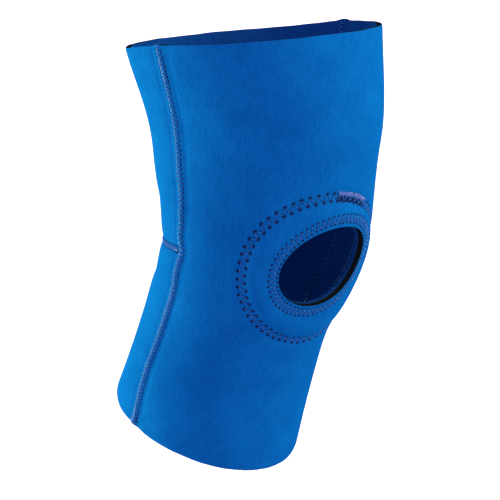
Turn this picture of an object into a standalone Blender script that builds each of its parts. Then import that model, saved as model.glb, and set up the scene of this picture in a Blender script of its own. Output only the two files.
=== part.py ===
"""Pull-on knee brace: a laminated neoprene sleeve with an open patella hole and a sewn ring pad.

Metres, +Z up along the thigh. The front of the knee faces -Y and the wearer's right side is -X.
The origin is the centre of the knee, on the axis that the knee bends about, which runs along X.

The sleeve is laid out on a straight leg: phi is the angle round the leg, 0 at the front and
growing towards the wearer's right, and z is the height along it. The leg is then bent at the
knee, so the thigh stays upright and the calf swings back. Each panel is a laminate of a fabric
face, a foam core and a lining, each a solid of its own, and each is split where the stretch
that flexes with the knee meets the stretches that stay with the thigh and the calf.
"""

import math

import bmesh
import bpy
import numpy as np

# Lengths along the straight leg
THIGH_HEM = 0.1185
CALF_HEM = -0.1265
FLEX_HALF = 0.070  # the flexing stretch runs this far either side of the knee
BEND_HALF = 0.0525  # the bend at rest is spread this far either side of the knee
BEND = math.radians(30)

# Outer shape of the sleeve: height, half width, depth to the front, depth to the back
SECTIONS = np.array(
    [
        (-0.130, 0.0568, 0.0649, 0.0501),
        (-0.089, 0.0601, 0.0538, 0.0460),
        (-0.052, 0.0590, 0.0513, 0.0489),
        (-0.016, 0.0639, 0.0512, 0.0508),
        (0.021, 0.0659, 0.0616, 0.0539),
        (0.063, 0.0633, 0.0799, 0.0622),
        (0.120, 0.0737, 0.0752, 0.0750),
    ]
)

# Laminate, as depths below the outer surface, with a clearance between layers
GAP = 0.0003
FABRIC = 0.0005
FOAM = 0.0022
FACE_LAYER = (0.0, FABRIC)
FOAM_LAYER = (FABRIC + GAP, FABRIC + GAP + FOAM)
LINING_LAYER = (FOAM_LAYER[1] + GAP, FOAM_LAYER[1] + GAP + FABRIC)
PAD_LAYER = (LINING_LAYER[1] + GAP, LINING_LAYER[1] + GAP + FOAM)
FACING_LAYER = (PAD_LAYER[1] + GAP, PAD_LAYER[1] + GAP + FABRIC)
LAYERS = {"face": FACE_LAYER, "foam": FOAM_LAYER, "lining": LINING_LAYER}

# Patella hole and ring pad: ellipses laid on the straight sleeve, half sizes (round, along)
WRAP_RADIUS = 0.061  # turns a distance round the front into an angle
HOLE_CENTRE = -0.0007
HOLE = (0.0310, 0.0184)
RING_CENTRE = -0.0048
RING_TILT = math.radians(12.2)  # the pad is sewn with its end on the wearer's right raised
RING_STITCH = (0.0530, 0.0349)
PAD_MARGIN = 0.0035  # the pad reaches this far past its outer stitching
RING_RISE = 0.0018  # the pad lifts the face this much, over the band of reaches below
RISE_START = 1.12
RISE_BAND = 0.30

# Seams and stitch rows
SEAM = math.radians(89)  # angle from the front to each side seam
STITCH_THICK = 0.0004
SEAM_STITCH = 0.0042  # widths of the zigzag rows
POPLITEAL_STITCH = 0.0036
RING_STITCH_WIDTH = 0.0044
HOLE_STITCH_WIDTH = 0.0048
HOLE_STITCH_INSET = 0.0007
BAR_TACK = (0.0240, 0.0040, 0.0005)  # length, width, thickness
BAR_TACK_OFFSET = 0.0006  # from the middle of the outer row, away from the hole
BAR_TACK_PLACE = math.radians(103)  # where its middle lies on the outer row, as an ellipse angle

# Facets
SHARP_ANGLE = math.radians(40)
SPAN_STEPS = 12  # round half of the leg
THIGH_STEPS = 2
CALF_STEPS = 2
KNEE_STEPS = 8
BAR_TACK_STEPS = 4


def smooth(t):
    t = np.clip(t, 0.0, 1.0)
    return t * t * (3.0 - 2.0 * t)


def section(z):
    """Half width, front depth and back depth at height z, on a smooth curve through SECTIONS."""
    heights, values = SECTIONS[:, 0], SECTIONS[:, 1:]
    slopes = np.gradient(values, heights, axis=0)
    k = np.clip(np.searchsorted(heights, z) - 1, 0, len(heights) - 2)
    span = (heights[k + 1] - heights[k])[..., None]
    t = ((z - heights[k]) / span[..., 0])[..., None]
    start = values[k] * (1 + 2 * t) + slopes[k] * span * t
    finish = values[k + 1] * (3 - 2 * t) + slopes[k + 1] * span * (t - 1)
    return start * (1 - t) ** 2 + finish * t**2


def ring_lift(phi, z):
    """How far the ring pad pushes the face out. The reach is 1 on the outer stitch row."""
    across, up = phi * WRAP_RADIUS, z - RING_CENTRE
    along_pad = across * math.cos(RING_TILT) + up * math.sin(RING_TILT)
    over_pad = up * math.cos(RING_TILT) - across * math.sin(RING_TILT)
    reach = np.hypot(along_pad / RING_STITCH[0], over_pad / RING_STITCH[1])
    return RING_RISE * smooth((RISE_START - reach) / RISE_BAND)


def sleeve_points(points, depth):
    """The (phi, z) points at a depth below the outer surface, in the bent sleeve.

    The depth is measured across the leg, so every hem and zone edge is cut square and flat.
    """
    phi, z = np.asarray(points, dtype=float).T
    width, front, back = section(z).T
    lift = ring_lift(phi, z)
    fore, side = np.cos(phi), np.sin(phi)
    deep = np.where(fore > 0, front, back)
    outward = np.stack((-side * deep, -fore * width), axis=-1)
    outward *= ((lift - depth) / np.linalg.norm(outward, axis=-1))[:, None]
    x = -width * side + outward[:, 0]
    y = -deep * fore + outward[:, 1]
    turn = BEND * smooth((BEND_HALF - z) / (2 * BEND_HALF))
    rows = (x, y * np.cos(turn) - z * np.sin(turn), y * np.sin(turn) + z * np.cos(turn))
    return np.stack(rows, axis=-1)


def grid(phis, heights):
    """A patch of the sleeve: its (phi, z) points and its quads, turned to face outwards."""
    points = [(phi, z) for z in heights for phi in phis]
    n = len(phis)
    quads = [
        (j * n + i, (j + 1) * n + i, (j + 1) * n + i + 1, j * n + i + 1)
        for j in range(len(heights) - 1)
        for i in range(n - 1)
    ]
    return points, quads


def rings(loops):
    """A patch between closed loops of (phi, z) points, the innermost loop first."""
    points = [point for loop in loops for point in loop]
    n = len(loops[0])
    quads = [
        (j * n + i, j * n + (i + 1) % n, (j + 1) * n + (i + 1) % n, (j + 1) * n + i)
        for j in range(len(loops) - 1)
        for i in range(n)
    ]
    return points, quads


def hole_loop(angles, by=0.0):
    """A loop round the patella hole, grown by a margin. It runs so that quads face outwards."""
    width, height = HOLE[0] + by, HOLE[1] + by
    return [
        (width * math.cos(a) / WRAP_RADIUS, HOLE_CENTRE + height * math.sin(a)) for a in angles
    ]


def ring_loop(angles, by=0.0):
    """A loop along the outer stitch row, grown by a margin, on the tilted ellipse of the pad."""
    width, height = RING_STITCH[0] + by, RING_STITCH[1] + by
    cos, sin = math.cos(RING_TILT), math.sin(RING_TILT)
    loop = []
    for a in angles:
        across, up = width * math.cos(a - RING_TILT), height * math.sin(a - RING_TILT)
        place = (across * cos - up * sin) / WRAP_RADIUS, RING_CENTRE + across * sin + up * cos
        loop.append(place)
    return loop


def rectangle(phi_half, z_low, z_high, across, up):
    """A loop of points round a patch of the front, in the same sense as hole_loop()."""
    phis = np.linspace(-phi_half, phi_half, across + 1)
    heights = np.linspace(z_low, z_high, up + 1)
    loop = [(phis[-1], z) for z in heights[:-1]]
    loop += [(phi, heights[-1]) for phi in phis[:0:-1]]
    loop += [(phis[0], z) for z in heights[:0:-1]]
    loop += [(phi, heights[0]) for phi in phis[:-1]]
    return loop


def loop_angles(loop, phi_half, z_half):
    return [math.atan2((z - HOLE_CENTRE) / z_half, phi / phi_half) for phi, z in loop]


def between(inner, outer, share):
    """The loop a share of the way from one loop to another."""
    return [
        (a[0] + (b[0] - a[0]) * share, a[1] + (b[1] - a[1]) * share)
        for a, b in zip(inner, outer)
    ]


def solid(name, patch, layer, finish):
    """A closed solid of one layer of a patch, from layer[0] to layer[1] below the surface."""
    points, quads = patch
    bm = bmesh.new()
    upper = [bm.verts.new(p) for p in sleeve_points(points, layer[0])]
    lower = [bm.verts.new(p) for p in sleeve_points(points, layer[1])]
    edges = {(q[i], q[(i + 1) % 4]) for q in quads for i in range(4)}
    for a, b, c, d in quads:
        for corners in ((a, b, c), (a, c, d)):  # the same diagonal keeps the layers apart
            bm.faces.new([upper[i] for i in corners])
            bm.faces.new([lower[i] for i in reversed(corners)])
    for a, b in edges:
        if (b, a) not in edges:
            bm.faces.new((upper[b], upper[a], lower[a], lower[b]))
    bmesh.ops.recalc_face_normals(bm, faces=bm.faces)
    mesh = bpy.data.meshes.new(name)
    bm.to_mesh(mesh)
    bm.free()
    mesh.shade_smooth()
    mesh.set_sharp_from_angle(angle=SHARP_ANGLE)
    mesh.materials.append(finish)
    part = bpy.data.objects.new(name, mesh)
    bpy.context.scene.collection.objects.link(part)
    return part


def material(name, colour, roughness):
    made = bpy.data.materials.new(name)
    made.use_nodes = True
    shader = made.node_tree.nodes["Principled BSDF"]
    shader.inputs["Base Color"].default_value = (*colour, 1.0)
    shader.inputs["Roughness"].default_value = roughness
    shader.inputs["Metallic"].default_value = 0.0
    return made


def heights_between(low, high, steps):
    """Rows of a panel, held half a clearance inside its ends."""
    rows = np.linspace(low, high, steps + 1)
    rows[0] += GAP / 2
    rows[-1] -= GAP / 2
    return rows


def panel_edge(phi, towards):
    """The angle half a clearance to one side of phi."""
    return phi + towards * GAP / 2 / WRAP_RADIUS


def laminate(name, patch, materials):
    for layer, depths in LAYERS.items():
        solid(f"{name}_{layer}", patch, depths, materials[layer])


def front_panel(materials):
    """The front: a thigh piece, a calf piece, and a knee piece with the patella hole in it."""
    half = panel_edge(SEAM, -1)
    phis = np.linspace(half, -half, SPAN_STEPS + 1)
    laminate("front_thigh", grid(phis, heights_between(FLEX_HALF, THIGH_HEM, THIGH_STEPS)), materials)
    laminate("front_calf", grid(phis, heights_between(CALF_HEM, -FLEX_HALF, CALF_STEPS)), materials)
    reach = FLEX_HALF - GAP / 2
    border = rectangle(half, -reach, reach, SPAN_STEPS, KNEE_STEPS)
    angles = loop_angles(border, half, reach)
    hole = hole_loop(angles)
    ring = ring_loop(angles, PAD_MARGIN)
    loops = [hole, between(hole, ring, 0.5), ring, between(ring, border, 0.5), border]
    laminate("front_knee", rings(loops), materials)
    return angles


def back_panels(materials):
    """The back: an upper and a lower panel, which meet at the seam behind the knee."""
    half = panel_edge(SEAM, 1)
    phis = np.linspace(2 * math.pi - half, half, SPAN_STEPS + 1)
    pieces = {
        "back_thigh": (FLEX_HALF, THIGH_HEM, THIGH_STEPS),
        "back_knee_upper": (0.0, FLEX_HALF, KNEE_STEPS // 2),
        "back_knee_lower": (-FLEX_HALF, 0.0, KNEE_STEPS // 2),
        "back_calf": (CALF_HEM, -FLEX_HALF, CALF_STEPS),
    }
    for name, (low, high, steps) in pieces.items():
        laminate(name, grid(phis, heights_between(low, high, steps)), materials)


def patella_ring(angles, materials):
    """The ring pad behind the lining, round the hole, and the fabric that faces it."""
    hole = hole_loop(angles)
    rim = ring_loop(angles, PAD_MARGIN)
    patch = rings([hole, between(hole, rim, 0.5), rim])
    solid("patella_ring_pad", patch, PAD_LAYER, materials["foam"])
    solid("patella_ring_facing", patch, FACING_LAYER, materials["lining"])


def stitch_layer(thick=STITCH_THICK, above=0.0):
    """A stitch row stands on the face, or on another row, with a clearance below it."""
    return -above - GAP - thick, -above - GAP


def side_seam_stitches(side, sign, materials):
    """The zigzag row over one side seam, in its thigh, knee and calf stretches."""
    half = SEAM_STITCH / 2 / WRAP_RADIUS
    phis = [sign * SEAM + half, sign * SEAM, sign * SEAM - half]
    stretches = {
        "thigh": (FLEX_HALF, THIGH_HEM, THIGH_STEPS),
        "knee": (-FLEX_HALF, FLEX_HALF, KNEE_STEPS),
        "calf": (CALF_HEM, -FLEX_HALF, CALF_STEPS),
    }
    for stretch, (low, high, steps) in stretches.items():
        patch = grid(phis, heights_between(low, high, steps))
        solid(f"{side}_seam_thread_{stretch}", patch, stitch_layer(), materials["thread"])


def popliteal_stitches(materials):
    """The zigzag row over the seam behind the knee, from one side seam to the other."""
    start = SEAM + (SEAM_STITCH / 2 + GAP) / WRAP_RADIUS
    phis = np.linspace(2 * math.pi - start, start, SPAN_STEPS + 1)
    heights = [-POPLITEAL_STITCH / 2, 0.0, POPLITEAL_STITCH / 2]
    solid("popliteal_seam_thread", grid(phis, heights), stitch_layer(), materials["thread"])


def ring_stitches(angles, materials):
    """The zigzag rows that hold the ring pad, and the bar tack where the outer row closes."""
    half = RING_STITCH_WIDTH / 2
    outer = [ring_loop(angles, by) for by in (-half, 0.0, half)]
    solid("patella_outer_thread", rings(outer), stitch_layer(), materials["thread"])
    insets = (HOLE_STITCH_INSET, HOLE_STITCH_INSET + HOLE_STITCH_WIDTH)
    inner = [hole_loop(angles, by) for by in insets]
    solid("patella_inner_thread", rings(inner), stitch_layer(), materials["thread"])
    length, width, thick = BAR_TACK
    half_turn = length / 2 / RING_STITCH[0]
    arc = np.linspace(BAR_TACK_PLACE - half_turn, BAR_TACK_PLACE + half_turn, BAR_TACK_STEPS + 1)
    edges = (BAR_TACK_OFFSET - width / 2, BAR_TACK_OFFSET + width / 2)
    points = [place for by in edges for place in ring_loop(arc, by)]
    quads = grid(arc, edges)[1]
    layer = stitch_layer(thick, above=GAP + STITCH_THICK)
    solid("patella_bar_tack", (points, quads), layer, materials["thread"])


def clear_scene():
    for thing in list(bpy.data.objects):
        bpy.data.objects.remove(thing, do_unlink=True)


def main():
    clear_scene()
    materials = {
        "face": material("blue_jersey", (0.004, 0.091, 0.390), 0.62),
        "foam": material("neoprene_core", (0.010, 0.012, 0.014), 0.85),
        "lining": material("blue_lining", (0.004, 0.060, 0.270), 0.70),
        "thread": material("navy_thread", (0.030, 0.050, 0.160), 0.45),
    }
    angles = front_panel(materials)
    back_panels(materials)
    patella_ring(angles, materials)
    for side, sign in (("right", 1), ("left", -1)):
        side_seam_stitches(side, sign, materials)
    popliteal_stitches(materials)
    ring_stitches(angles, materials)


main()
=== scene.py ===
"""Looks of the knee brace: fabric, foam, lining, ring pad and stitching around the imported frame.

Metres, in the frame's own axes: +Z up along the thigh, -Y to the front of the knee, -X to the
wearer's right. The sleeve is laid out on a straight leg, as in the CAD: phi is the angle round
the leg, 0 at the front and growing towards the wearer's right, and z is the height along it.
The leg is then bent at the knee.
"""

import math

import bpy
import numpy as np
from mathutils import Matrix, Vector
from mathutils.kdtree import KDTree


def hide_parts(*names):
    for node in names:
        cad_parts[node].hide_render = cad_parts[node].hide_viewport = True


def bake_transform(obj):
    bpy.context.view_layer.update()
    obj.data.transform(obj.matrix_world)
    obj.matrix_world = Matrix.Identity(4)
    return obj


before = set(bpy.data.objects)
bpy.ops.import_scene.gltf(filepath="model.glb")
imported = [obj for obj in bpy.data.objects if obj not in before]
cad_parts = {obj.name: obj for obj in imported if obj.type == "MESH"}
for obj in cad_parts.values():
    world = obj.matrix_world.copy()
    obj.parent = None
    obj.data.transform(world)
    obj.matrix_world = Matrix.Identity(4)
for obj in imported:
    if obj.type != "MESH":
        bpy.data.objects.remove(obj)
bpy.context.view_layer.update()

MM = 0.001

# The sleeve's shape, as in the CAD. A section is its height on the straight leg, its half width,
# and how far it reaches to the front and to the back.
THIGH_HEM = 0.1185
CALF_HEM = -0.1265
BEND_HALF = 0.0525
BEND = math.radians(30)
SECTIONS = np.array(
    [
        (-0.130, 0.0568, 0.0649, 0.0501),
        (-0.089, 0.0601, 0.0538, 0.0460),
        (-0.052, 0.0590, 0.0513, 0.0489),
        (-0.016, 0.0639, 0.0512, 0.0508),
        (0.021, 0.0659, 0.0616, 0.0539),
        (0.063, 0.0633, 0.0799, 0.0622),
        (0.120, 0.0737, 0.0752, 0.0750),
    ]
)
SEAM = math.radians(89)
WRAP_RADIUS = 0.061  # turns a distance round the front into an angle
SEAM_CLEAR = 0.06 * MM / WRAP_RADIUS  # half the gap where two panels butt, as an angle
HOLE_CENTRE = -0.7 * MM
HOLE = (31.0 * MM, 18.4 * MM)
RING_CENTRE = -4.8 * MM
RING_TILT = math.radians(12.2)
RING_STITCH = (53.0 * MM, 34.9 * MM)
PAD_MARGIN = 3.5 * MM
RING_RISE = 1.8 * MM

# Layers, as depths below the outer surface. They are closer together and a little thicker than
# in the CAD, so that the cut edges look bonded.
LAYER_GAP = 0.02 * MM
FACE = (0.0, 0.60 * MM)
FOAM = (0.62 * MM, 3.20 * MM)
LINING = (3.22 * MM, 3.80 * MM)
PAD = (3.95 * MM, 6.30 * MM)
PAD_LIP = 4.20 * MM  # the pad is skived to this depth at the hole
FACING = 0.60 * MM

# Cut sheets: width and length laid flat, and area
FRONT_CUT = ((0.215, 0.260), 0.0463)
UPPER_BACK_CUT = ((0.220, 0.118), 0.0215)
LOWER_BACK_CUT = ((0.172, 0.126), 0.0187)

# Mesh steps. The front panel's run round and along its outline, then outwards: hole to ring row,
# on past the row, over the open cloth, and along the edge.
FRONT_STEPS = (100, 280, (27, 10, 12, 12))
PAST_RING = 7 * MM
EDGE_SHARES = (0.985, 0.993, 1.0)  # the last loops before the outline
BUTT_GAP = 0.05 * MM  # half the gap between the two back panels
BACK_EDGE = 6 * MM  # the back panels are finest this close to their edges
BACK_STEP = 0.60 * MM
BACK_COARSE_STEP = 0.95 * MM
PAD_SHARES = np.concatenate((np.linspace(0, 0.9, 40), (0.94, 0.97, 1.0)))

# Stitch rows: width, pitch of the zigzag, thread radius
RING_ROW = (4.1 * MM, 5.1 * MM, 0.20 * MM)
HOLE_ROW = (4.8 * MM, 3.4 * MM, 0.21 * MM)
SEAM_ROW = (4.3 * MM, 2.7 * MM, 0.25 * MM)
POPLITEAL_ROW = (3.6 * MM, 2.6 * MM, 0.24 * MM)

# How wide and how deep a needle hole presses the cloth in; the width also sets how far the shade
# painted in it spreads
RING_DIMPLE = (1.20 * MM, 0.54 * MM)
HOLE_DIMPLE = (0.85 * MM, 0.54 * MM)
SEAM_DIMPLE = (0.75 * MM, 0.50 * MM)
TACK_DIMPLE = (1.45 * MM, 0.54 * MM)

HOLE_ROW_INSET = 3.4 * MM  # middle of the inner row, from the hole's edge
BACKSTITCH_TOP = 21 * MM  # the side seams are sewn twice over these lengths at the hems
BACKSTITCH_BOTTOM = 15 * MM
TACK_MIDDLE = math.radians(103)  # where the outer row is sewn over again, as an ellipse angle
TACK_LENGTH = 24 * MM
TACK_PASSES = ((1.6, 2.5, 2.2), (1.4, 3.1, 2.8), (1.9, 2.8, 1.8))  # outwards, pitch, width: mm
TACK_HOLLOW = -0.8 * MM  # its hollow, as a margin of the outer row: on the inner side
RING_JITTER = 0.12 * MM  # unevenness of the needle holes
SEAM_JITTER = 0.08 * MM
TACK_JITTER = 0.25 * MM

# A stitch from hole to hole: shares of the way, and heights in mm
STITCH_STEPS = np.array([0.0, 0.07, 0.2, 0.36, 0.5, 0.64, 0.8, 0.93])
STITCH_RISE = np.array([-1.10, -0.60, 0.08, 0.28, 0.35, 0.28, 0.08, -0.60])
THREAD_SIDES = 6
TWIST_LENGTH = 0.55 * MM  # one turn of the plies

# Colours, deep and bright; threads add the colour and strength of their glint. On a thread the
# bright colour is a painted highlight along its plies.
FACE_BLUES = ((0.0010, 0.052, 0.205), (0.0030, 0.125, 0.350))
# Dark of the needle holes: partly the holes themselves, partly painted shade in and round them and
# in the hollow beside the bar tack
PIT_SHADE_BLUE = (0.005, 0.011, 0.052)
LINING_BLUES = ((0.002, 0.028, 0.130), (0.006, 0.060, 0.230))
FOAM_BLACKS = ((0.0020, 0.0026, 0.0022), (0.013, 0.016, 0.014))
# Navy thread: deep is its own colour, and the bright colour is a painted highlight on the plies
NAVY_THREAD = ((0.001, 0.022, 0.110), (0.030, 0.190, 0.560), (0.25, 0.60, 1.0), 0.12)
# The bar tack's thread: the navy thread made lighter in both colours, a painted highlight for its
# glints
TACK_THREAD_PAINTED_LIGHT = ((0.012, 0.040, 0.190), (0.240, 0.320, 0.700), (0.50, 0.65, 1.0), 0.5)
FLOOR_WHITES = ((0.92, 0.92, 0.92), (0.96, 0.96, 0.96))
FACE_KNIT = (0.75 * MM, 0.62 * MM)  # wale and course
LINING_KNIT = (0.80 * MM, 0.66 * MM)


# ---------------------------------------------------------------- the sleeve's surface


def smooth(t):
    """0 up to t = 0 and 1 from t = 1, with an even rise between."""
    t = np.clip(t, 0.0, 1.0)
    return t * t * (3.0 - 2.0 * t)


def hump(t):
    """A bump of height 1 at t = 0 that dies away past t = 1."""
    return np.exp(-(t**2))


def section(z):
    """Half width, front depth and back depth at height z, on a smooth curve through SECTIONS."""
    heights, values = SECTIONS[:, 0], SECTIONS[:, 1:]
    slopes = np.gradient(values, heights, axis=0)
    k = np.clip(np.searchsorted(heights, z) - 1, 0, len(heights) - 2)
    span = (heights[k + 1] - heights[k])[..., None]
    t = ((z - heights[k]) / span[..., 0])[..., None]
    start = values[k] * (1 + 2 * t) + slopes[k] * span * t
    finish = values[k + 1] * (3 - 2 * t) + slopes[k + 1] * span * (t - 1)
    return start * (1 - t) ** 2 + finish * t**2


def wrapped(phi):
    """phi from -pi to pi."""
    return (phi + math.pi) % (2 * math.pi) - math.pi


def ring_reach(phi, z):
    """1 on the outer stitch row, less inside it, on the pad's tilted ellipse."""
    across, up = wrapped(phi) * WRAP_RADIUS, z - RING_CENTRE
    along_pad = across * math.cos(RING_TILT) + up * math.sin(RING_TILT)
    over_pad = up * math.cos(RING_TILT) - across * math.sin(RING_TILT)
    return np.hypot(along_pad / RING_STITCH[0], over_pad / RING_STITCH[1])


def hole_reach(phi, z):
    """1 on the patella hole's edge, more outside it."""
    around = wrapped(phi) * WRAP_RADIUS
    return np.hypot(around / HOLE[0], (z - HOLE_CENTRE) / HOLE[1])


def ring_shape(phi, z):
    """The pad lifts the face, and the two stitch rows pull it in, so that it puffs between."""
    reach = ring_reach(phi, z)
    size = np.hypot(wrapped(phi) * WRAP_RADIUS, z - RING_CENTRE)
    past_row = size * (1 - 1 / np.maximum(reach, 0.2))
    past_hole = size * (1 - 1 / np.maximum(hole_reach(phi, z), 0.2))
    lift = RING_RISE * smooth((1.12 - reach) / 0.30)
    puff = 0.8 * MM * hump((past_row + 8 * MM) / (5 * MM))
    beside = 0.35 * MM * hump((past_row - 5.5 * MM) / (3 * MM))
    rows = hump(past_row / (2.4 * MM)) + 0.8 * hump((past_hole - HOLE_ROW_INSET) / (2.6 * MM))
    rolled = 0.35 * MM * hump(past_hole / (0.8 * MM))
    return lift + puff + beside - 0.55 * MM * rows - rolled


def seam_angle(z):
    """Angle of the side seam, which wanders a little where the sleeve folds behind the knee."""
    wander = 1.1 * hump((z - 34 * MM) / (13 * MM)) + 0.9 * hump((z + 0.5 * MM) / (4.5 * MM))
    wander = wander - 0.9 * hump((z - 9 * MM) / (5 * MM)) - 1.0 * hump((z + 14 * MM) / (7 * MM))
    return SEAM - MM * wander / WRAP_RADIUS


def seam_shape(phi, z):
    """Each side seam stands as a low ridge with the butted edges drawn down along its middle."""
    off = (np.abs(wrapped(phi)) - seam_angle(z)) * WRAP_RADIUS
    ridge = 0.85 * MM * hump(off / (2.5 * MM)) - 0.4 * MM * hump(off / (0.5 * MM))
    valleys = hump((off - 4.6 * MM) / (1.6 * MM)) + hump((off + 4.6 * MM) / (1.6 * MM))
    return ridge - 0.35 * MM * valleys


def popliteal_height(phi):
    """The seam behind the knee sags between the side seams."""
    return -5.0 * MM * smooth((np.abs(wrapped(phi)) - SEAM) / math.radians(42))


def crease_shape(phi, z):
    """Behind the knee the sleeve folds in a little along the popliteal seam."""
    behind = smooth((np.abs(wrapped(phi)) - math.radians(76)) / math.radians(30))
    up = z - popliteal_height(phi)
    swell = hump((up - 13 * MM) / (8 * MM)) + hump((up + 13 * MM) / (8 * MM))
    folds = hump((up - 31 * MM) / (6 * MM)) + 0.8 * hump((up + 30 * MM) / (6 * MM))
    valley = 1.3 * MM * hump(up / (4.5 * MM))
    seam = 0.6 * MM * hump(up / (1.9 * MM)) - 0.3 * MM * hump(up / (0.5 * MM))
    return behind * (0.35 * MM * swell - valley - 0.4 * MM * folds + seam)


def drape(phi, z):
    """Slow unevenness, as on any sleeve pulled over a leg."""
    waves = (
        np.sin(2 * phi + 31 * z)
        + 0.7 * np.sin(3 * phi - 47 * z + 1.3)
        + 0.5 * np.sin(5 * phi + 83 * z + 0.4)
        + 0.35 * np.sin(9 * phi - 60 * z + 2.1)
    )
    return 0.28 * MM * waves


def hem_roll(z):
    """The cut edges round over at the two hems."""
    return -0.3 * MM * (hump((THIGH_HEM - z) / (0.7 * MM)) + hump((z - CALF_HEM) / (0.7 * MM)))


def hem_wave(phi, z):
    """How far the cloth is shifted along the leg near the hems.

    Neither hem is quite level. The top one dips behind the side seams, with a small peak on
    them, and both are cut by hand, a little unevenly.
    """
    top = smooth(1 - (THIGH_HEM - z) / (60 * MM))
    bottom = smooth(1 - (z - CALF_HEM) / (60 * MM))
    level_top = 0.4 * np.cos(phi) - 1.7 * np.sin(phi)
    behind = np.abs(wrapped(phi)) - SEAM
    level_top = level_top - 2.8 * smooth(behind / math.radians(40))
    level_top = level_top + 1.0 * hump(behind * WRAP_RADIUS / (2.6 * MM))
    level_bottom = np.cos(phi) - 0.3 * np.sin(phi)
    ripple = np.sin(5 * phi + 0.6) + 0.8 * np.sin(11 * phi) + 0.5 * np.sin(23 * phi + 2)
    near = smooth(1 - (THIGH_HEM - z) / (14 * MM)) - smooth(1 - (z - CALF_HEM) / (14 * MM))
    return MM * (top * level_top + bottom * level_bottom + 0.12 * near * ripple)


def surface(phi, z, depth=0.0, lift=0.0):
    """Points at a depth below the sleeve's outer surface, in the bent sleeve."""
    phi, z = np.broadcast_arrays(np.asarray(phi, float), np.asarray(z, float))
    width, front, back = np.moveaxis(section(z), -1, 0)
    raised = ring_shape(phi, z) + seam_shape(phi, z) + crease_shape(phi, z)
    raised = raised + drape(phi, z) + lift
    fore, side = np.cos(phi), np.sin(phi)
    deep = np.where(fore > 0, front, back)
    out_x, out_y = -side * deep, -fore * width
    scale = (raised - depth) / np.hypot(out_x, out_y)
    x = -width * side + out_x * scale
    y = -deep * fore + out_y * scale
    along = z + hem_wave(phi, z)
    turn = BEND * smooth((BEND_HALF - z) / (2 * BEND_HALF))
    bent_y = y * np.cos(turn) - along * np.sin(turn)
    bent_z = y * np.sin(turn) + along * np.cos(turn)
    return np.stack((x, bent_y, bent_z), axis=-1)


def unit(v):
    """Vectors scaled to length 1."""
    return v / np.maximum(np.linalg.norm(v, axis=-1, keepdims=True), 1e-12)


def surface_normal(phi, z):
    """The outward direction, read a millimetre to either side so that fine relief hardly counts."""
    d_phi, d_z = 1 * MM / WRAP_RADIUS, 1 * MM
    around = surface(phi + d_phi, z) - surface(phi - d_phi, z)
    along = surface(phi, z + d_z) - surface(phi, z - d_z)
    return unit(np.cross(along, around))


# ---------------------------------------------------------------- patches of the sleeve


class Patch:
    """Points (phi, z) of a piece laid on the straight sleeve, with quads that face outwards."""

    def __init__(self, phi, z, quads):
        self.phi, self.z, self.quads = np.asarray(phi), np.asarray(z), np.asarray(quads)

    def border(self):
        """Directed edges that belong to one quad only."""
        a = self.quads
        b = np.roll(a, -1, axis=1)
        edges = np.stack((a.ravel(), b.ravel()), axis=1)
        have = set(map(tuple, edges.tolist()))
        return [(p, q) for p, q in edges.tolist() if (q, p) not in have]


def grid_patch(phis, heights):
    """A patch on a grid of angles and heights."""
    n, rows = len(phis), len(heights)
    j, i = np.meshgrid(np.arange(rows - 1), np.arange(n - 1), indexing="ij")
    low = (j * n + i).ravel()
    quads = np.stack((low, low + 1, low + n + 1, low + n), axis=1)
    if phis[1] > phis[0]:
        quads = quads[:, ::-1]
    phi, z = np.meshgrid(phis, heights)
    return Patch(phi.ravel(), z.ravel(), quads)


def ring_patch(loops):
    """A patch between closed loops, each (phi array, z array), the innermost first."""
    n = len(loops[0][0])
    j, i = np.meshgrid(np.arange(len(loops) - 1), np.arange(n), indexing="ij")
    i, j = i.ravel(), j.ravel()
    nxt = (i + 1) % n
    quads = np.stack((j * n + i, j * n + nxt, (j + 1) * n + nxt, (j + 1) * n + i), axis=1)
    phi = np.concatenate([loop[0] for loop in loops])
    z = np.concatenate([loop[1] for loop in loops])
    return Patch(phi, z, quads)


def hole_loop(angles, by=0.0):
    """A loop round the patella hole, grown by a margin."""
    phi = (HOLE[0] + by) * np.cos(angles) / WRAP_RADIUS
    return phi, HOLE_CENTRE + (HOLE[1] + by) * np.sin(angles)


def ring_loop(angles, by=0.0):
    """A loop along the outer stitch row, grown by a margin, on the pad's tilted ellipse."""
    across = (RING_STITCH[0] + by) * np.cos(angles - RING_TILT)
    up = (RING_STITCH[1] + by) * np.sin(angles - RING_TILT)
    cos, sin = math.cos(RING_TILT), math.sin(RING_TILT)
    return (across * cos - up * sin) / WRAP_RADIUS, RING_CENTRE + across * sin + up * cos


def between(inner, outer, share):
    """The loop that lies a share of the way from one loop to another."""
    return tuple(a + (b - a) * share for a, b in zip(inner, outer))


def front_border(steps_round, steps_along):
    """The front panel's outline from corner to corner, anticlockwise seen from outside."""
    heights = np.linspace(CALF_HEM, THIGH_HEM, steps_along + 1)
    across = np.linspace(-1, 1, steps_round + 1)
    phi = np.concatenate((np.ones(steps_along), across[:0:-1], -np.ones(steps_along), across[:-1]))
    z = np.concatenate(
        (
            heights[:-1],
            np.full(steps_round, THIGH_HEM),
            heights[:0:-1],
            np.full(steps_round, CALF_HEM),
        )
    )
    return phi * (seam_angle(z) - SEAM_CLEAR), z


def front_patch(steps_round, steps_along, rows):
    """The front panel: loops from the patella hole, past the ring stitching, to the outline."""
    border = front_border(steps_round, steps_along)
    half = (THIGH_HEM - CALF_HEM) / 2
    angles = np.arctan2((border[1] - HOLE_CENTRE) / half, border[0] / SEAM)
    hole, ring, past = hole_loop(angles), ring_loop(angles), ring_loop(angles, PAST_RING)
    inner, near, far, edge = rows
    loops = []
    for start, end, low, high, count in (
        (hole, ring, 0.0, 1.0, inner),
        (ring, past, 0.0, 1.0, near),
        (past, border, 0.0, 0.86, far),
        (past, border, 0.86, EDGE_SHARES[0], edge),
    ):
        loops += [between(start, end, t) for t in np.linspace(low, high, count, endpoint=False)]
    loops += [between(past, border, t) for t in EDGE_SHARES]
    return ring_patch(loops)


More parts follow.
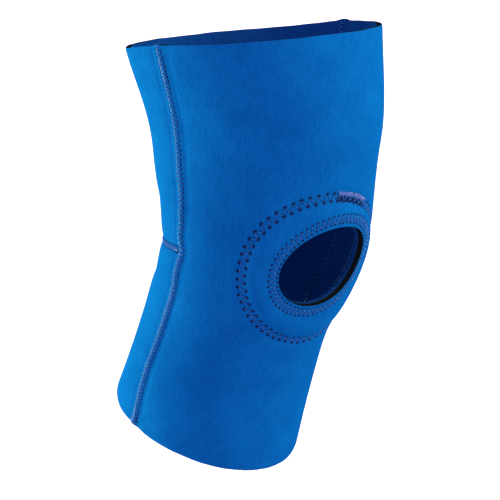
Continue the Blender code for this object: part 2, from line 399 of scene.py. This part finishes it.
def spaced(low, high, fine, step, coarse):
    """Values from low to high, with steps of step for a length fine at each end."""
    count = max(2, round(fine / step))
    ends = np.linspace(0, fine, count + 1)
    spans = max(2, round((high - low - 2 * fine) / coarse))
    middle = np.linspace(low + fine, high - fine, spans + 1)
    return np.concatenate((low + ends[:-1], middle, (high - ends[:-1])[::-1]))


def back_patch(low, high):
    """A back panel: a grid from one side seam round behind the knee to the other.

    The edge nearest height 0 follows the popliteal seam.
    """
    steps = (BACK_EDGE, BACK_STEP, BACK_COARSE_STEP)
    shares = spaced(0, 2 * (math.pi - SEAM) * WRAP_RADIUS, *steps)
    shares = shares / shares[-1]
    heights = spaced(low, high, *steps)
    patch = grid_patch(shares, heights)
    start = seam_angle(patch.z) + SEAM_CLEAR
    patch.phi = start + patch.phi * (2 * math.pi - 2 * start)
    patch.z = patch.z + popliteal_height(patch.phi) * smooth(1 - np.abs(patch.z) / (60 * MM))
    return patch


# ---------------------------------------------------------------- meshes


def make_mesh(name, verts, faces, materials, uv, slots=None):
    """A smooth-shaded object, with one uv pair for each vertex."""
    mesh = bpy.data.meshes.new(name)
    sizes = np.array([len(f) for f in faces], dtype=np.int32)
    corners = np.concatenate([np.asarray(f, dtype=np.int32) for f in faces])
    mesh.vertices.add(len(verts))
    mesh.vertices.foreach_set("co", np.asarray(verts, dtype=np.float32).ravel())
    mesh.loops.add(len(corners))
    mesh.loops.foreach_set("vertex_index", corners)
    mesh.polygons.add(len(faces))
    starts = np.concatenate(([0], np.cumsum(sizes)[:-1])).astype(np.int32)
    mesh.polygons.foreach_set("loop_start", starts)
    mesh.update(calc_edges=True)
    layer = mesh.uv_layers.new(name="cloth")
    layer.data.foreach_set("uv", np.asarray(uv, dtype=np.float32)[corners].ravel())
    for material in materials:
        mesh.materials.append(material)
    if slots is not None:
        mesh.polygons.foreach_set("material_index", np.asarray(slots, dtype=np.int32))
    mesh.shade_smooth()
    mesh.set_sharp_from_angle(angle=math.radians(42))
    obj = bpy.data.objects.new(name, mesh)
    bpy.context.scene.collection.objects.link(obj)
    return obj


def shell(name, patch, outer, inner, material, edge_material, dimples=()):
    """A closed sheet of a patch between two depths; its cut edge has a material of its own.

    outer and inner are depths, or arrays of depths at the patch's points. A point attribute tells
    the cloth's material where to paint shade: in the needle holes and in the hollow beside the bar
    tack.
    """
    count = len(patch.phi)
    roll = hem_roll(patch.z)
    top = surface(patch.phi, patch.z, outer, roll)
    low = surface(patch.phi, patch.z, inner)
    pit_shades = np.zeros(count)
    if dimples:
        depth, pit_shades = pressed(dimples, top)
        top = top - surface_normal(patch.phi, patch.z) * depth[:, None]
    faces = patch.quads.tolist()
    faces += (patch.quads[:, ::-1] + count).tolist()
    cloth = len(faces)
    faces += [[q, p, p + count, q + count] for p, q in patch.border()]
    slots = np.zeros(len(faces), dtype=np.int32)
    slots[cloth:] = 1
    uv = np.stack((patch.phi * WRAP_RADIUS, patch.z), axis=1)
    obj = make_mesh(
        name,
        np.concatenate((top, low)),
        faces,
        [material, edge_material],
        np.concatenate((uv, uv)),
        slots,
    )
    # How much shade the cloth's material paints at each point: in needle holes and in the bar
    # tack's hollow
    shade = obj.data.attributes.new("pit_shade", "FLOAT", "POINT")
    values = np.concatenate((pit_shades, np.zeros(count)))
    shade.data.foreach_set("value", values.astype(np.float32))
    return obj


class Dimples:
    """Needle holes, each pressing the cloth in round a point."""

    def __init__(self, points, radius, depth):
        self.radius, self.depth = radius, depth
        self.tree = KDTree(len(points))
        for k, point in enumerate(points):
            self.tree.insert(Vector(point), k)
        self.tree.balance()

    def press(self, points):
        """How far each point is pressed in, from 0 to 1 in the middle of a hole."""
        reach = np.array([self.tree.find(Vector(p))[2] for p in points])
        return hump(reach / self.radius)


def pressed(dimples, points):
    """Depth of the dimples at the points, and their share from 0 to 1, which also sets the shade
    painted there.
    """
    shares = [group.press(points) for group in dimples]
    depths = [group.depth * share for group, share in zip(dimples, shares)]
    return np.max(depths, axis=0), np.max(shares, axis=0)


# ---------------------------------------------------------------- thread


class Row:
    """The middle line of a row of stitching, measured by the distance s along it."""

    def __init__(self, phi, z, closed=False):
        self.closed = closed
        if closed:
            phi, z = np.append(phi, phi[0]), np.append(z, z[0])
        self.phi, self.z = phi, z
        steps = np.linalg.norm(np.diff(surface(phi, z), axis=0), axis=1)
        self.at = np.concatenate(([0.0], np.cumsum(steps)))
        self.length = self.at[-1]

    def angle_and_height(self, s):
        if self.closed:
            s = np.mod(s, self.length)
        return np.interp(s, self.at, self.phi), np.interp(s, self.at, self.z)

    def place(self, s):
        """Points, outward normals and directions across the row."""
        ahead = surface(*self.angle_and_height(s + 0.4 * MM))
        behind = surface(*self.angle_and_height(s - 0.4 * MM))
        phi, z = self.angle_and_height(s)
        out = surface_normal(phi, z)
        return surface(phi, z), out, unit(np.cross(out, unit(ahead - behind)))


def needle_holes(row, width, pitch, start=0.0, stop=None, phase=0, jitter=0.0, seed=1):
    """The holes of a zigzag, side to side in sewing order: points and normals."""
    stop = row.length if stop is None else stop
    count = max(2, round((stop - start) / (pitch / 2)))
    if row.closed and stop == row.length:
        count += count % 2
        s = start + np.arange(count) * (stop - start) / count
    else:
        s = np.linspace(start, stop, count)
    side = np.where((np.arange(count) + phase) % 2 == 0, 0.5, -0.5) * width
    rng = np.random.default_rng(seed)
    s = s + rng.normal(0, jitter, count)
    side = side + rng.normal(0, jitter, count)
    points, out, across = row.place(s)
    return points + across * side[:, None], out


def thread_path(points, out, closed, rise, base):
    """The thread from hole to hole: down in each hole, and standing proud between."""
    nxt = np.roll(points, -1, axis=0)
    nxt_out = np.roll(out, -1, axis=0)
    t = STITCH_STEPS[None, :, None]
    line = points[:, None] + (nxt - points)[:, None] * t
    normal = unit(out[:, None] + (nxt_out - out)[:, None] * t)
    height = base + STITCH_RISE[None, :, None] * MM * rise
    path = (line + normal * height).reshape(-1, 3)
    normals = normal.reshape(-1, 3)
    if not closed:
        keep = len(path) - len(STITCH_STEPS) + 1
        path, normals = path[:keep], normals[:keep]
    return path, normals


def tube(path, normals, radius, closed):
    """Vertices, faces and a map along and round a thread."""
    sides = THREAD_SIDES
    ahead = np.roll(path, -1, axis=0)
    behind = np.roll(path, 1, axis=0)
    if not closed:
        ahead[-1], behind[0] = path[-1], path[0]
    along = unit(ahead - behind)
    side = unit(np.cross(along, normals))
    up = np.cross(side, along)
    turn = np.arange(sides) * 2 * math.pi / sides
    ring = side[:, None] * np.cos(turn)[None, :, None] + up[:, None] * np.sin(turn)[None, :, None]
    verts = (path[:, None] + ring * radius).reshape(-1, 3)
    n = len(path)
    spans = n if closed else n - 1
    faces = []
    for i in range(spans):
        j = (i + 1) % n
        for k in range(sides):
            m = (k + 1) % sides
            faces.append([i * sides + k, j * sides + k, j * sides + m, i * sides + m])
    if not closed:
        faces.append(list(range(sides))[::-1])
        faces.append([(n - 1) * sides + k for k in range(sides)])
    length = np.concatenate(([0.0], np.cumsum(np.linalg.norm(np.diff(path, axis=0), axis=1))))
    uv = np.stack((np.repeat(length, sides), np.tile(turn / (2 * math.pi), n)), axis=1)
    return verts, faces, uv


def thread_piece(name, runs, material):
    """One object of several runs of thread, each (points, normals, closed, radius, rise, base).

    rise scales a stitch's height between its holes, and base lifts the whole run.
    """
    verts, faces, uvs, base_index = [], [], [], 0
    for points, out, closed, radius, rise, base in runs:
        path, normals = thread_path(points, out, closed, rise, base)
        v, f, uv = tube(path, normals, radius, closed)
        verts.append(v)
        uvs.append(uv)
        faces += [[k + base_index for k in face] for face in f]
        base_index += len(v)
    return make_mesh(name, np.concatenate(verts), faces, [material], np.concatenate(uvs))


# ---------------------------------------------------------------- materials


def node_maker(material):
    """A function that adds a node, with values or sockets for its inputs, and the links."""
    nodes, links = material.node_tree.nodes, material.node_tree.links

    def add(kind, inputs=None, **settings):
        node = nodes.new(kind)
        for key, value in settings.items():
            setattr(node, key, value)
        for key, value in (inputs or {}).items():
            if isinstance(value, bpy.types.NodeSocket):
                links.new(value, node.inputs[key])
            else:
                node.inputs[key].default_value = value
        return node

    return add, links


def math_node(add, operation, a, b=0.0, c=0.0):
    """The output of one sum."""
    return add("ShaderNodeMath", {0: a, 1: b, 2: c}, operation=operation).outputs[0]


def remap(add, value, low, high, top=1.0):
    """0 where the value is low, rising to top where it is high, and held there."""
    limits = {"Value": value, "From Min": low, "From Max": high, "To Max": top}
    return add("ShaderNodeMapRange", limits).outputs[0]


def noise(add, place, scale, detail):
    """Smooth noise; a larger scale makes it finer."""
    return add("ShaderNodeTexNoise", {"Vector": place, "Scale": scale, "Detail": detail}).outputs[0]


def mixed(add, share, low, high):
    """A colour from low at share 0 to high at share 1; low may be another colour's output."""
    start = low if isinstance(low, bpy.types.NodeSocket) else (*low, 1)
    inputs = {"Factor": share, "A": start, "B": (*high, 1)}
    return add("ShaderNodeMix", inputs, data_type="RGBA").outputs["Result"]


def bump(add, strength, distance, height):
    """A normal that shows relief the mesh is too coarse for."""
    inputs = {"Strength": strength, "Distance": distance, "Height": height}
    return add("ShaderNodeBump", inputs).outputs[0]


def new_material(name, roughness, specular=0.3, sheen=0.0, sheen_tint=(1, 1, 1), sheen_rough=0.5):
    """A node material and its Principled shader."""
    material = bpy.data.materials.new(name)
    material.use_nodes = True
    shader = material.node_tree.nodes["Principled BSDF"]
    shader.inputs["Roughness"].default_value = roughness
    shader.inputs["Specular IOR Level"].default_value = specular
    shader.inputs["Sheen Weight"].default_value = sheen
    shader.inputs["Sheen Tint"].default_value = (*sheen_tint, 1)
    shader.inputs["Sheen Roughness"].default_value = sheen_rough
    return material, shader


def knit_height(add, uv, wale, course):
    """Height of a jersey knit: columns of small chevrons, a wale apart and a course long."""
    parts = add("ShaderNodeSeparateXYZ", {0: uv})
    column = math_node(add, "DIVIDE", parts.outputs[0], wale)
    ramp = math_node(add, "PINGPONG", column, 0.5)
    slant = math_node(add, "MULTIPLY", ramp, 1.1)
    line = math_node(add, "DIVIDE", parts.outputs[1], course)
    loop = math_node(add, "PINGPONG", math_node(add, "ADD", line, slant), 0.5)
    valley = math_node(add, "SMOOTH_MIN", ramp, 0.3, 0.1)
    return math_node(add, "ADD", math_node(add, "MULTIPLY", loop, 0.9), valley)


def jersey(name, colours, knit, pit_shade_colour=None):
    """Knitted nylon: chevron loops, flecks of lighter yarn, streaks, and slow unevenness of dye.

    Shade is painted between the loops, and in the needle holes when a colour for them is given.
    """
    material, shader = new_material(
        name,
        roughness=0.85,
        specular=0.0,
        sheen=0.10,
        sheen_tint=(0.0, 0.55, 1.0),
        sheen_rough=0.35,
    )
    add, links = node_maker(material)
    uv = add("ShaderNodeUVMap", uv_map="cloth").outputs[0]
    place = add("ShaderNodeTexCoord").outputs["Object"]
    fleck = remap(add, noise(add, place, 1150.0, 2.0), 0.53, 0.74, 0.35)
    cloud = remap(add, noise(add, place, 55.0, 4.0), 0.3, 0.7, 0.22)
    drawn = add("ShaderNodeVectorMath", {0: uv, 1: (1.0, 0.14, 1.0)}, operation="MULTIPLY")
    streak = remap(add, noise(add, drawn.outputs[0], 1000.0, 2.0), 0.35, 0.70, 0.22)
    height = knit_height(add, uv, *knit)
    share = math_node(add, "ADD", fleck, cloud)
    # Painted shade: the knit's loops lighter on their tops and darker in the gaps between them
    for more in (remap(add, height, 0.1, 0.7, 0.22), streak):
        share = math_node(add, "ADD", share, more)
    colour = mixed(add, share, *colours)
    # Painted shade: darker in the needle holes and in the hollow beside the bar tack
    if pit_shade_colour:
        pit_shade = add("ShaderNodeAttribute", attribute_name="pit_shade").outputs["Fac"]
        colour = mixed(add, remap(add, pit_shade, 0.15, 0.55), colour, pit_shade_colour)
    links.new(colour, shader.inputs["Base Color"])
    fuzz = noise(add, place, 2600.0, 1.0)
    relief = bump(add, 0.35, 0.12 * MM, math_node(add, "MULTIPLY_ADD", fuzz, 0.5, height))
    links.new(relief, shader.inputs["Normal"])
    return material


def foam_material():
    """Cut closed-cell foam: black, matt, with a fine open texture."""
    material, shader = new_material("black_foam", roughness=1.0, specular=0.0)
    add, links = node_maker(material)
    place = add("ShaderNodeTexCoord").outputs["Object"]
    cells = add("ShaderNodeTexVoronoi", {"Vector": place, "Scale": 2600.0}).outputs["Distance"]
    share = math_node(add, "MULTIPLY", cells, noise(add, place, 700.0, 3.0))
    links.new(mixed(add, share, *FOAM_BLACKS), shader.inputs["Base Color"])
    links.new(bump(add, 0.6, 0.15 * MM, cells), shader.inputs["Normal"])
    return material


def thread_material(name, deep, painted_highlight, glint, specular):
    """Twisted filament thread: plies, painted lighter along each turn, wind round it; it glints in
    a colour of its own.
    """
    material, shader = new_material(name, roughness=0.38, specular=specular)
    shader.inputs["Specular Tint"].default_value = (*glint, 1)
    add, links = node_maker(material)
    uv = add("ShaderNodeSeparateXYZ", {0: add("ShaderNodeUVMap", uv_map="cloth").outputs[0]})
    along = math_node(add, "DIVIDE", uv.outputs[0], TWIST_LENGTH)
    twist = math_node(add, "ADD", along, math_node(add, "MULTIPLY", uv.outputs[1], 3.0))
    ply = math_node(add, "PINGPONG", twist, 0.5)
    share = math_node(add, "MULTIPLY", ply, 2.0)
    # Painted highlight: each ply goes from the deep colour to a lighter one along its turn
    links.new(mixed(add, share, deep, painted_highlight), shader.inputs["Base Color"])
    links.new(bump(add, 0.5, 0.08 * MM, ply), shader.inputs["Normal"])
    return material


def floor_material():
    """Pale, matt and very slightly mottled."""
    material, shader = new_material("pale_floor", roughness=0.9, specular=0.1)
    add, links = node_maker(material)
    place = add("ShaderNodeTexCoord").outputs["Object"]
    mottle = noise(add, place, 3.0, 2.0)
    links.new(mixed(add, mottle, *FLOOR_WHITES), shader.inputs["Base Color"])
    return material


def brace_materials():
    """Every material of the brace, by its use."""
    return {
        "face": jersey("blue_jersey", FACE_BLUES, FACE_KNIT, PIT_SHADE_BLUE),
        "lining": jersey("blue_lining", LINING_BLUES, LINING_KNIT),
        "foam": foam_material(),
        "thread": thread_material("navy_thread", *NAVY_THREAD),
        "tack": thread_material("tack_thread_painted_light", *TACK_THREAD_PAINTED_LIGHT),
    }


# ---------------------------------------------------------------- the brace


def finish_piece(obj, nodes):
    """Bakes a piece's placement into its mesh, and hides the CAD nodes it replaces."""
    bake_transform(obj)
    if nodes:
        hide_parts(*nodes)
    return obj


def stitch_rows():
    """The middle lines of every row of stitching."""
    turn = np.linspace(0, 2 * math.pi, 361)[:-1] + math.radians(55)
    heights = np.linspace(CALF_HEM + 0.5 * MM, THIGH_HEM - 0.5 * MM, 260)
    rows = {
        "ring": Row(*ring_loop(turn), closed=True),
        "hole": Row(*hole_loop(turn, HOLE_ROW_INSET), closed=True),
        "right": Row(seam_angle(heights), heights),
        "left": Row(-seam_angle(heights), heights),
    }
    start = SEAM + SEAM_ROW[0] / 2 / WRAP_RADIUS
    behind = np.linspace(start, 2 * math.pi - start, 200)
    rows["popliteal"] = Row(behind, popliteal_height(behind))
    return rows


def sewn_holes(rows):
    """Needle holes of every row, by row and then pass: (points, normals, closed)."""
    holes = {}
    for key, (width, pitch, _), seed in (("ring", RING_ROW, 3), ("hole", HOLE_ROW, 5)):
        made = needle_holes(rows[key], width, pitch, jitter=RING_JITTER, seed=seed)
        holes[key] = [(*made, True)]
    width, pitch, _ = SEAM_ROW
    for side, seed in (("right", 7), ("left", 11)):
        row = rows[side]
        runs = [(0.0, row.length, 0), (0.0, BACKSTITCH_BOTTOM, 1)]
        runs += [(row.length - BACKSTITCH_TOP, row.length, 1)]
        holes[side] = [
            (*needle_holes(row, width, pitch, a, b, phase, SEAM_JITTER, seed + k), False)
            for k, (a, b, phase) in enumerate(runs)
        ]
    width, pitch, _ = POPLITEAL_ROW
    made = needle_holes(rows["popliteal"], width, pitch, jitter=SEAM_JITTER, seed=17)
    holes["popliteal"] = [(*made, False)]
    return holes


def tack_arc(count, by):
    """Points along the bar tack, at a margin outside the outer row."""
    half_turn = TACK_LENGTH / 2 / RING_STITCH[0]
    return ring_loop(np.linspace(TACK_MIDDLE + half_turn, TACK_MIDDLE - half_turn, count), by)


def tack_holes():
    """The dense zigzag where the outer ring row is sewn over, heaped on its outer side."""
    passes = []
    for k, (offset, pitch, width) in enumerate(TACK_PASSES):
        row = Row(*tack_arc(60, offset * MM))
        made = needle_holes(row, width * MM, pitch * MM, phase=k, jitter=TACK_JITTER, seed=23 + k)
        passes.append((*made, False))
    return passes


def tack_hollow():
    """Points along the hollow that the bar tack pulls into the cloth on its inner side; it also
    gets painted shade.
    """
    return surface(*tack_arc(34, TACK_HOLLOW))


def press_marks(holes):
    """The dimples of every row and the hollow beside the bar tack, which also set where shade is
    painted.
    """
    marks = [Dimples(tack_hollow(), *TACK_DIMPLE)]
    for key, runs in holes.items():
        size = {"ring": RING_DIMPLE, "hole": HOLE_DIMPLE}.get(key, SEAM_DIMPLE)
        marks.append(Dimples(np.concatenate([run[0] for run in runs]), *size))
    return marks


def panel(name, patch, zones, cut, materials, dimples):
    """One panel: a fabric face, a foam core and a lining, bonded together."""
    face, foam, lining = materials["face"], materials["foam"], materials["lining"]
    cover = shell(f"{name}_face", patch, *FACE, face, foam, dimples)
    core = shell(f"{name}_foam", patch, *FOAM, foam, foam)
    inside = shell(f"{name}_lining", patch, *LINING, lining, lining)
    finish_piece(cover, [f"{z}_face" for z in zones])
    finish_piece(core, [f"{z}_foam" for z in zones])
    finish_piece(inside, [f"{z}_lining" for z in zones])


def panels(materials, dimples):
    """The three panels. The layers of each share one patch: with unlike meshes they cross more."""
    front = front_patch(*FRONT_STEPS)
    upper_back = back_patch(BUTT_GAP, THIGH_HEM)
    lower_back = back_patch(CALF_HEM, -BUTT_GAP)
    front_zones = ("front_thigh", "front_knee", "front_calf")
    upper_zones = ("back_thigh", "back_knee_upper")
    lower_zones = ("back_knee_lower", "back_calf")
    looks = (materials, dimples)
    panel("front_panel", front, front_zones, FRONT_CUT, *looks)
    panel("upper_back_panel", upper_back, upper_zones, UPPER_BACK_CUT, *looks)
    panel("lower_back_panel", lower_back, lower_zones, LOWER_BACK_CUT, *looks)


def ring_pad(materials):
    """The oval pad behind the lining, skived thin towards the hole, and its facing fabric."""
    angles = np.linspace(0, 2 * math.pi, 541)[:-1]
    rim = ring_loop(angles, PAD_MARGIN)
    patch = ring_patch([between(hole_loop(angles), rim, t) for t in PAD_SHARES])
    share = np.repeat(PAD_SHARES, len(angles))
    full = smooth(share / 0.28) * (1 - 0.5 * smooth((share - 0.93) / 0.07))
    inner = PAD_LIP + (PAD[1] - PAD_LIP) * full
    foam, lining = materials["foam"], materials["lining"]
    pad = shell("patella_ring_pad_core", patch, PAD[0], inner, foam, foam)
    outer = inner + LAYER_GAP
    facing = shell("patella_ring_pad_facing", patch, outer, inner + FACING, lining, lining)
    finish_piece(pad, ["patella_ring_pad"])
    finish_piece(facing, ["patella_ring_facing"])


def row_makeup():
    """For each row: its name, its sizes, the CAD nodes it replaces, and its depth inside."""
    past_pad = FACING + PAD[1]
    makeup = {
        "ring": ("patella_outer_stitch", RING_ROW, ["patella_outer_thread"], past_pad),
        "hole": ("patella_inner_stitch", HOLE_ROW, ["patella_inner_thread"], past_pad),
    }
    for side in ("right", "left"):
        nodes = [f"{side}_seam_thread_{zone}" for zone in ("thigh", "knee", "calf")]
        makeup[side] = (f"{side}_seam_stitch", SEAM_ROW, nodes, LINING[1])
    behind = ("popliteal_seam_stitch", POPLITEAL_ROW, ["popliteal_seam_thread"], LINING[1])
    makeup["popliteal"] = behind
    return makeup


def stitching(holes, materials):
    """Needle threads on the face and bobbin threads on the inside."""
    thread = materials["thread"]
    for key, (name, (_, _, radius), nodes, inside) in row_makeup().items():
        runs = [
            (points, out, closed, radius, 1.0 + 0.25 * k, radius * 0.6)
            for k, (points, out, closed) in enumerate(holes[key])
        ]
        finish_piece(thread_piece(f"{name}_needle_thread", runs, thread), nodes)
        points, out, closed = holes[key][0]
        under = [(points - out * inside, -out, closed, radius * 0.9, 0.8, radius * 0.4)]
        finish_piece(thread_piece(f"{name}_bobbin_thread", under, thread), [])


def bar_tack(tack, materials):
    """The bar tack's passes, each heaped on the one before."""
    radius = RING_ROW[2]
    runs = [
        (points, out, closed, radius, 1.0 + 0.4 * k, radius * (0.6 + 0.8 * k))
        for k, (points, out, closed) in enumerate(tack)
    ]
    thread = thread_piece("patella_bar_tack_thread", runs, materials["tack"])
    finish_piece(thread, ["patella_bar_tack"])


# ---------------------------------------------------------------- camera, light, floor


CAMERA_AZIMUTH = math.radians(-42.1)
CAMERA_ELEVATION = math.radians(8.3)
CAMERA_ROLL = math.radians(-3.0)
CAMERA_DISTANCE = 1.365
CAMERA_SHIFT = (-0.0281, -0.0294)
CAMERA_CLIP = (0.05, 200.0)
SENSOR_WIDTH = 36.0  # mm
VIEW_WIDTH = 0.2924  # the picture's width at the knee
FLOOR_DROP = 0.48  # a knee's height above the ground
FLOOR_RADIUS = 60.0
FLOOR_SUN = 2.4

# Softboxes: azimuth and elevation in degrees, distance, size, watts, colour
SOFTBOXES = {
    "left_softbox": (-148, -9, 1.5, (0.8, 0.5), 57, (0.70, 1.0, 0.62)),
    "right_softbox": (34, 18, 0.75, (0.40, 0.40), 6.2, (0.70, 1.0, 0.68)),
    "top_softbox": (20, 50, 1.5, (0.8, 0.8), 2, (0.90, 1.0, 0.94)),
}
ROOM_COLOUR = (0.84, 0.69, 1.0)
ROOM_STRENGTH = 1.32


def view_direction(azimuth, elevation):
    """The direction from the knee to a viewer; azimuth 0 is in front of the knee."""
    level = math.cos(elevation)
    return Vector((math.sin(azimuth) * level, -math.cos(azimuth) * level, math.sin(elevation)))


def camera():
    """A long lens in front of the knee, to the wearer's right and a little above."""
    back = view_direction(CAMERA_AZIMUTH, CAMERA_ELEVATION)
    level = Vector((math.cos(CAMERA_AZIMUTH), math.sin(CAMERA_AZIMUTH), 0.0))
    up = back.cross(level)
    cos, sin = math.cos(CAMERA_ROLL), math.sin(CAMERA_ROLL)
    right, top = level * cos + up * sin, up * cos - level * sin
    data = bpy.data.cameras.new("camera")
    data.sensor_width = SENSOR_WIDTH
    data.lens = SENSOR_WIDTH * CAMERA_DISTANCE / VIEW_WIDTH
    data.shift_x, data.shift_y = CAMERA_SHIFT
    data.clip_start, data.clip_end = CAMERA_CLIP
    obj = bpy.data.objects.new("camera", data)
    bpy.context.scene.collection.objects.link(obj)
    axes = Matrix((right, top, back)).transposed().to_4x4()
    obj.matrix_world = Matrix.Translation(back * CAMERA_DISTANCE) @ axes
    bpy.context.scene.camera = obj


def area_light(name, azimuth, elevation, distance, size, power, colour):
    """A softbox aimed at the knee, unseen by the camera."""
    data = bpy.data.lights.new(name, "AREA")
    data.shape = "RECTANGLE"
    data.size, data.size_y = size
    data.energy = power
    data.color = colour
    obj = bpy.data.objects.new(name, data)
    direction = view_direction(math.radians(azimuth), math.radians(elevation))
    obj.location = direction * distance
    obj.rotation_euler = direction.to_track_quat("Z", "Y").to_euler()
    obj.visible_camera = False
    bpy.context.scene.collection.objects.link(obj)


def room():
    """An even, dim light from all round."""
    world = bpy.data.worlds.new("room")
    world.use_nodes = True
    background = world.node_tree.nodes["Background"]
    background.inputs["Color"].default_value = (*ROOM_COLOUR, 1)
    background.inputs["Strength"].default_value = ROOM_STRENGTH
    bpy.context.scene.world = world


def floor_and_light(material):
    """A pale floor, with a light that falls on nothing else."""
    bpy.ops.mesh.primitive_circle_add(
        vertices=96, radius=FLOOR_RADIUS, fill_type="NGON", location=(0, 0, -FLOOR_DROP)
    )
    ground = bpy.context.object
    ground.name = "floor"
    ground.data.materials.append(material)
    ground.visible_diffuse = False  # it doesn't light the brace from below
    lit = bpy.data.collections.new("lit_by_floor_light")
    lit.objects.link(ground)
    sun = bpy.data.lights.new("floor_light", "SUN")
    sun.energy = FLOOR_SUN
    sun.angle = math.radians(50)
    obj = bpy.data.objects.new("floor_light", sun)
    obj.light_linking.receiver_collection = lit
    bpy.context.scene.collection.objects.link(obj)


def studio():
    """Softboxes to either side and above, a dim room, and the floor."""
    floor = floor_material()
    for name, makeup in SOFTBOXES.items():
        area_light(name, *makeup)
    room()
    floor_and_light(floor)
    bpy.context.scene.view_settings.view_transform = "Standard"


def main():
    """The camera, every piece of the brace, and the studio round it."""
    camera()
    materials = brace_materials()
    holes = sewn_holes(stitch_rows())
    tack = tack_holes()
    panels(materials, press_marks(holes))
    ring_pad(materials)
    stitching(holes, materials)
    bar_tack(tack, materials)
    studio()


main()
